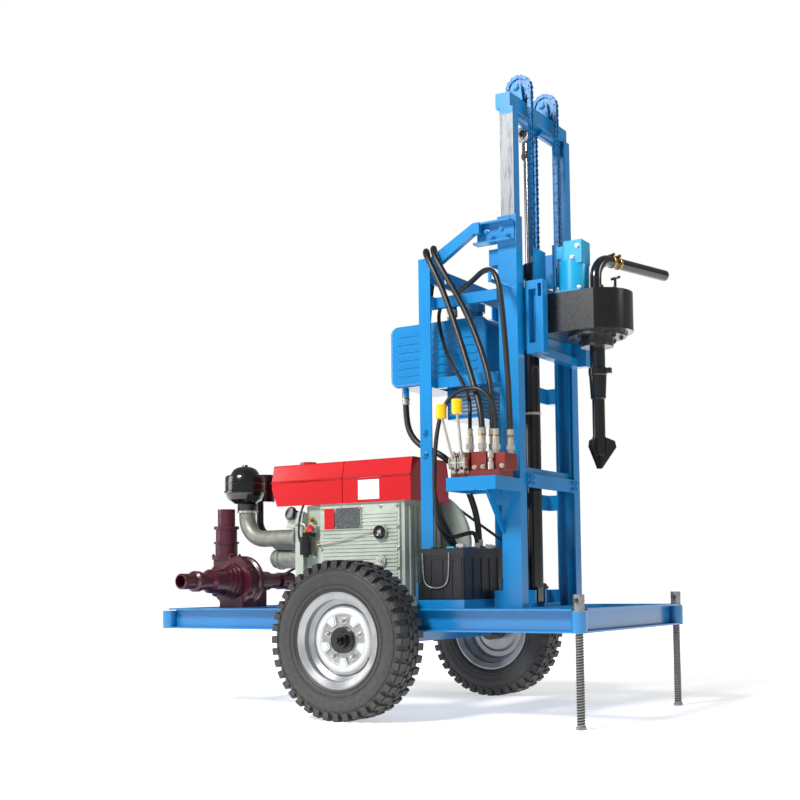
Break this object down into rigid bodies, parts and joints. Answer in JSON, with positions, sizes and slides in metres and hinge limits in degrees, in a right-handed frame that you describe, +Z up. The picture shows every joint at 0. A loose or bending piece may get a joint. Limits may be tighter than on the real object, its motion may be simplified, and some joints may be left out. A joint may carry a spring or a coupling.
{
  "type": "water well drilling rig",
  "caption": "Two-wheeled trailer drilling rig with a diesel engine, mud pump, hydraulic lift mast and rotary head with a drag bit.",
  "frame": {"origin": "on the ground under the middle of the machine's box", "axes": "+X along the frame toward the mast, +Y across it away from the valve side, +Z up"},
  "size_m": [1.857, 1.2842, 2.3889],
  "materials": {
    "frame_blue": "gloss",
    "engine_red": "gloss",
    "engine_grey": "satin",
    "pump_maroon": "satin",
    "valve_red": "satin",
    "motor_cyan": "gloss",
    "head_black": "satin",
    "black_paint": "gloss",
    "bare_steel": "satin",
    "rim_silver": "satin",
    "rod_chrome": "polished",
    "chain_steel": "satin",
    "elbow_aluminium": "satin",
    "tyre_black": "matte",
    "hose_black": "satin",
    "battery_black": "matte",
    "knob_yellow": "gloss"
  },
  "bodies": {
    "chassis": {"frame": "frame_blue", "sleeves_left": "frame_blue", "sleeves_right": "frame_blue", "axle": "frame_blue", "mast_support": "frame_blue", "mast_outer": "frame_blue", "oil_tank": "frame_blue", "oil_cooler": "frame_blue", "valve_shelf": "frame_blue", "battery_tray": "frame_blue", "hose_hook_bar": "frame_blue", "fuel_tank": "engine_red", "hopper_cover": "engine_red", "engine_crankcase": "engine_grey", "cylinder_head": "engine_grey", "flywheel": "engine_grey", "mud_pump": "pump_maroon", "mud_pump_pulley": "pump_maroon", "control_valve": "valve_red", "battery_hold_down": "motor_cyan", "hydraulic_pump": "head_black", "air_cleaner": "black_paint", "silencer": "black_paint", "lift_barrel": "black_paint", "fuel_filter": "black_paint", "screw_jacks": "bare_steel", "valve_levers": "bare_steel", "valve_fittings": "bare_steel", "chains_rear": "chain_steel", "intake_elbow": "elbow_aluminium", "belt_to_hydraulic_pump": "hose_black", "belt_to_mud_pump": "hose_black", "hose_post_first": "hose_black", "hose_post_second": "hose_black", "hose_hook": "hose_black", "hose_return": "hose_black", "hose_pressure": "hose_black", "hose_suction": "hose_black", "battery": "battery_black", "lever_knobs": "knob_yellow"},
    "near_wheel": {"tyre_near": "tyre_black", "wheel_near": "rim_silver"},
    "far_wheel": {"tyre_far": "tyre_black", "wheel_far": "rim_silver"},
    "inner_mast": {"mast_inner": "frame_blue", "lift_rod": "rod_chrome", "sprockets": "chain_steel", "chains_top": "chain_steel", "chains_front": "chain_steel"},
    "head": {"carriage": "frame_blue", "gearbox": "head_black", "gearbox_cover": "head_black", "hydraulic_motor": "motor_cyan", "water_pipe": "black_paint"},
    "drill_string": {"spindle": "head_black", "drill_bit": "head_black"}
  },
  "joints": [
    {"name": "near_wheel_spin", "type": "hinge", "parent": "chassis", "child": "near_wheel", "pos_m": [0.05, -0.567, 0.284], "axis": [0, 1, 0], "continuous": true},
    {"name": "far_wheel_spin", "type": "hinge", "parent": "chassis", "child": "far_wheel", "pos_m": [0.05, 0.567, 0.284], "axis": [0, 1, 0], "continuous": true},
    {"name": "mast_lift", "type": "slide", "parent": "chassis", "child": "inner_mast", "axis": [0, 0, 1], "range_m": [-0.2, 0.43], "deforming": ["chains_rear"]},
    {"name": "head_feed", "type": "slide", "parent": "inner_mast", "child": "head", "axis": [0, 0, 1], "range_m": [-0.2, 0.43], "deforming": ["chains_front"]},
    {"name": "spindle_turn", "type": "hinge", "parent": "head", "child": "drill_string", "pos_m": [0.792, 0, 1.2], "axis": [0, 0, 1], "continuous": true}
  ],
  "couplings": [
    {"joint": "head_feed", "follows": "mast_lift", "ratio": 1}
  ]
}
